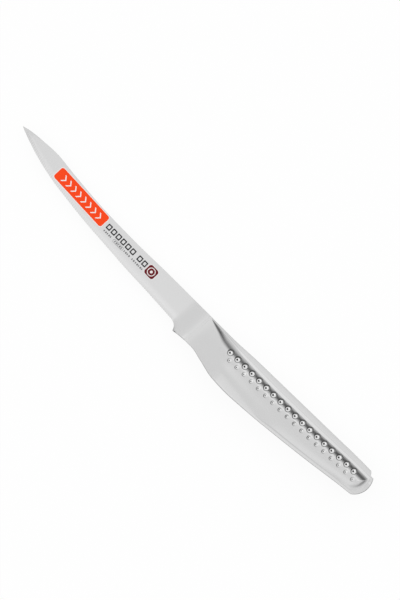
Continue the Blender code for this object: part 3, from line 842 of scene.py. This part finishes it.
def add_plate(bm, middle, length, width, corner, stroke=0.0, turn=0.0):
    """Flat plate with round corners. With a stroke, only a frame of that width is left of it."""
    before = set(bm.verts)
    grid = bmesh.ops.create_grid(bm, x_segments=1, y_segments=1, size=0.5)["verts"]
    bmesh.ops.scale(bm, vec=(length, width, 1.0), verts=grid)
    bmesh.ops.bevel(bm, geom=grid, offset=corner, affect="VERTICES", segments=6, profile=0.5, material=-1)
    if stroke:
        face = next(f for f in bm.faces if f.verts[0] not in before)
        bmesh.ops.inset_individual(bm, faces=[face], thickness=stroke, use_even_offset=True)
        bmesh.ops.delete(bm, geom=[face], context="FACES_ONLY")
    added = [v for v in bm.verts if v not in before]
    bmesh.ops.rotate(bm, verts=added, cent=(0.0, 0.0, 0.0), matrix=Matrix.Rotation(turn, 3, "Z"))
    bmesh.ops.translate(bm, verts=added, vec=(*middle, 0.0))


def lay_on_blade(name, bm, material, level, thickness, stands_for=None):
    """Thickens flat shapes and lays them on the blade's marked face, level above the steel."""
    lifted = bmesh.ops.extrude_face_region(bm, geom=bm.faces[:])["geom"]
    top = [v for v in lifted if isinstance(v, bmesh.types.BMVert)]
    bmesh.ops.translate(bm, vec=(0.0, 0.0, thickness), verts=top)
    for v in bm.verts:
        v.co.z += flat_half_thickness(v.co.x, v.co.y) + level
    finish_piece(name, bm, material, stands_for, crease=40)


bm = bmesh.new()
add_plate(bm, LABEL_MIDDLE, LABEL_LENGTH, LABEL_WIDTH, LABEL_CORNER)
lay_on_blade("label_film", bm, ink("pale_film", (0.88, 0.86, 0.84)), 0.0, FILM_THICKNESS, "blade_label")

bm = bmesh.new()
add_plate(bm, LABEL_MIDDLE, LABEL_LENGTH - 2 * LABEL_BORDER, LABEL_WIDTH - 2 * LABEL_BORDER,
          LABEL_CORNER - LABEL_BORDER)
lay_on_blade("label_field", bm, ink("orange_ink", (1.0, 0.064, 0.004)), FILM_THICKNESS, INK_THICKNESS)

bm = bmesh.new()
for place in (np.arange(ARROWS) + 0.5) / ARROWS:
    arrow = bmesh.ops.create_grid(bm, x_segments=1, y_segments=2, size=0.5)["verts"]
    bmesh.ops.scale(bm, vec=(ARROW_STROKE, ARROW_HEIGHT, 1.0), verts=arrow)
    point = [v for v in arrow if abs(v.co.y) < ARROW_HEIGHT / 8]
    bmesh.ops.translate(bm, verts=point, vec=(ARROW_POINT, 0.0, 0.0))
    middle = mix(ARROWS_FROM, ARROWS_TO, float(place)) - ARROW_POINT / 2
    bmesh.ops.translate(bm, verts=arrow, vec=(middle, ARROWS_MIDDLE, 0.0))
lay_on_blade("label_arrowheads", bm, ink("pale_ink", (0.90, 0.87, 0.85)),
             FILM_THICKNESS + INK_THICKNESS, INK_THICKNESS)


# Prints on the steel
# Plain marks in ink, screened straight on the blade behind the label: two groups of dark frames, a
# row of small grey dashes with an outlined pill among them, and a red seal with a pale ring.
MARK_HEIGHT = 0.0034
MARK_LENGTH = 0.0031
MARK_STROKE = 0.00075
MARK_CORNER = 0.0004
MARK_PITCH = 0.00395
MARK_GROUPS = ((0.0757, 6), (0.1012, 2))
MARKS_MIDDLE = -0.00290
PRINT_RISE = math.radians(1.4)
DASH_HEIGHT = 0.0011
DASH_PITCH = 0.0013
DASH_SHARES = (0.5, 0.72)
DASH_CORNER = 0.0002
DASH_GROUPS = ((0.0763, 5), (0.0852, 5), (0.0929, 4), (0.0994, 2), (0.1023, 5))
DASHES_MIDDLE = -0.0063
PILL_MIDDLE = 0.0881
PILL_LENGTH = 0.0081
PILL_WIDTH = 0.0020
PILL_STROKE = 0.0002
SEAL_MIDDLE = (0.1128, -0.0025)
SEAL_LENGTH = 0.0076
SEAL_WIDTH = 0.0071
SEAL_CORNER = 0.0019
SEAL_BORDER = 0.00032
# Ring and dot: share of the seal's length, and stroke
SEAL_RINGS = ((0.66, 0.0005), (0.22, 0.0))
ROUND_END = 0.46


def risen(x, level):
    """Place of a print at x: its rows climb a little towards the butt."""
    return x, level + (x - MARK_GROUPS[0][0]) * math.tan(PRINT_RISE)


bm = bmesh.new()
for start, count in MARK_GROUPS:
    for i in range(count):
        middle = risen(start + MARK_LENGTH / 2 + i * MARK_PITCH, MARKS_MIDDLE)
        add_plate(bm, middle, MARK_LENGTH, MARK_HEIGHT, MARK_CORNER, MARK_STROKE, PRINT_RISE)
lay_on_blade("dark_marks", bm, ink("dark_ink", (0.036, 0.037, 0.039)), 0.0, INK_THICKNESS)

bm = bmesh.new()
for start, count in DASH_GROUPS:
    for i in range(count):
        length = DASH_PITCH * DASH_SHARES[i % 2]
        middle = risen(start + length / 2 + i * DASH_PITCH, DASHES_MIDDLE)
        add_plate(bm, middle, length, DASH_HEIGHT, DASH_CORNER, turn=PRINT_RISE)
add_plate(bm, risen(PILL_MIDDLE, DASHES_MIDDLE), PILL_LENGTH, PILL_WIDTH, PILL_WIDTH * ROUND_END,
          PILL_STROKE, PRINT_RISE)
lay_on_blade("small_dashes", bm, ink("grey_ink", (0.20, 0.20, 0.205)), 0.0, INK_THICKNESS)

bm = bmesh.new()
add_plate(bm, SEAL_MIDDLE, SEAL_LENGTH, SEAL_WIDTH, SEAL_CORNER)
lay_on_blade("seal_border", bm, ink("pale_seal_ink", (0.86, 0.84, 0.83)), 0.0, INK_THICKNESS)

bm = bmesh.new()
add_plate(bm, SEAL_MIDDLE, SEAL_LENGTH - 2 * SEAL_BORDER, SEAL_WIDTH - 2 * SEAL_BORDER,
          SEAL_CORNER - SEAL_BORDER)
lay_on_blade("seal_field", bm, ink("deep_red_ink", (0.145, 0.004, 0.010)), INK_THICKNESS, INK_THICKNESS)

bm = bmesh.new()
for share, stroke in SEAL_RINGS:
    size = SEAL_LENGTH * share
    add_plate(bm, SEAL_MIDDLE, size, size, size * ROUND_END, stroke)
lay_on_blade("seal_ring", bm, ink("pale_ring_ink", (0.84, 0.80, 0.78)), 2 * INK_THICKNESS, INK_THICKNESS)


# Floor, light and camera
# The knife lies on a plain pale table under one big soft light tent. The tent falls off sooner on
# the edge's side and towards the butt. It has two brighter panels, one near its top and one lower
# on the spine's side.
FLOOR_WHITENESS = 0.92
TABLE_HALF = 6.0
floor_finish = Finish("pale_table", metal=0.0)
path = floor_finish.tree.nodes.new("ShaderNodeLightPath")
seen = Wire(floor_finish, path.outputs["Is Camera Ray"])
seen = seen + Wire(floor_finish, path.outputs["Is Glossy Ray"])
seen = seen + Wire(floor_finish, path.outputs["Is Transmission Ray"])
floor_finish.wear(Base_Color=(0.94, 0.94, 0.94, 1.0), Roughness=0.9)
plain = Wire(floor_finish, floor_finish.shader.outputs["BSDF"])
white = floor_finish.add("ShaderNodeEmission", None, {"Color": (1.0, 1.0, 1.0, 1.0), "Strength": 1.0})
shown = floor_finish.add("ShaderNodeMixShader", None, {0: seen * FLOOR_WHITENESS, 1: plain, 2: white})
floor_finish.fill(floor_finish.tree.nodes["Material Output"], {"Surface": shown})

bm = bmesh.new()
bmesh.ops.create_grid(bm, x_segments=1, y_segments=1, size=TABLE_HALF)
bmesh.ops.translate(bm, verts=bm.verts, vec=(0.0, 0.0, solid_low.z))
mesh = bpy.data.meshes.new("table_top")
bm.to_mesh(mesh)
bm.free()
mesh.materials.append(floor_finish.material)
table_top = bpy.data.objects.new("table_top", mesh)
bpy.context.collection.objects.link(table_top)

TENT_BRIGHTNESS = 1.37
TENT_LEVELS = ((0.0, 0.94), (0.34, 0.96), (0.50, 0.84), (0.66, 0.47), (0.82, 0.20), (1.0, 0.07))
FALL_TO_EDGE_SIDE = 0.16
FALL_TO_BUTT_SIDE = 0.20
# Each panel's angle from the top towards the spine's side, and its levels outwards from its middle
EDGE_SIDE_PANEL = (-0.22, ((0.0, 1.46), (0.08, 1.40), (0.21, 1.0)))
SPINE_SIDE_PANEL = (0.84, ((0.0, 1.22), (0.14, 1.18), (0.34, 1.0)))
world = bpy.data.worlds.new("light_tent")
world.use_nodes = True
bpy.context.scene.world = world
light = Nodes(world.node_tree)


def levels(amount, stops):
    """Grey light of the level that the stops give for an amount."""
    return light.add("ShaderNodeValToRGB", {"stops": [(place, (level,) * 3) for place, level in stops]},
                     {"Fac": amount})


toward = light.add("ShaderNodeTexCoord", output="Generated")
split = light.tree.nodes.new("ShaderNodeSeparateXYZ")
light.fill(split, {"Vector": toward})
along_knife, to_spine, up = (Wire(light, split.outputs[axis]) for axis in "XYZ")
off_zenith = up.maths("ARCCOSINE", up) * (2 / math.pi)
tent = levels(off_zenith - to_spine * FALL_TO_EDGE_SIDE + along_knife * FALL_TO_BUTT_SIDE, TENT_LEVELS)
for off_top, stops in (EDGE_SIDE_PANEL, SPINE_SIDE_PANEL):
    from_panel = light.add("ShaderNodeVectorMath", {"operation": "DISTANCE"},
                           {0: toward, 1: (0.0, math.sin(off_top), math.cos(off_top))}, output="Value")
    tent = light.add("ShaderNodeMix", {"data_type": "RGBA", "blend_type": "MULTIPLY"},
                     {0: 1.0, 6: tent, 7: levels(from_panel, stops)}, output=2)
camera_ray = light.add("ShaderNodeLightPath", output="Is Camera Ray")
tent_light = light.add("ShaderNodeBackground", None, {"Color": tent, "Strength": TENT_BRIGHTNESS})
backdrop = light.add("ShaderNodeBackground", None, {"Color": (1.0, 1.0, 1.0, 1.0), "Strength": 1.0})
lit = light.add("ShaderNodeMixShader", None, {0: camera_ray, 1: tent_light, 2: backdrop})
light.fill(light.tree.nodes["World Output"], {"Surface": lit})

VIEW_HEIGHT = 1.6
VIEW_MIDDLE = (-0.00114, 0.009914)
PICTURE_LENGTH = 0.348
PICTURE_TURN = math.radians(47.379)
camera = bpy.data.cameras.new("camera")
camera.lens = camera.sensor_width * (VIEW_HEIGHT - HANDLE_THICKNESS / 2) / PICTURE_LENGTH
lens = bpy.data.objects.new("camera", camera)
lens.location = (*VIEW_MIDDLE, VIEW_HEIGHT)
lens.rotation_euler = (0.0, 0.0, PICTURE_TURN)
bpy.context.collection.objects.link(lens)
bpy.context.scene.camera = lens
bpy.context.scene.view_settings.view_transform = "Standard"
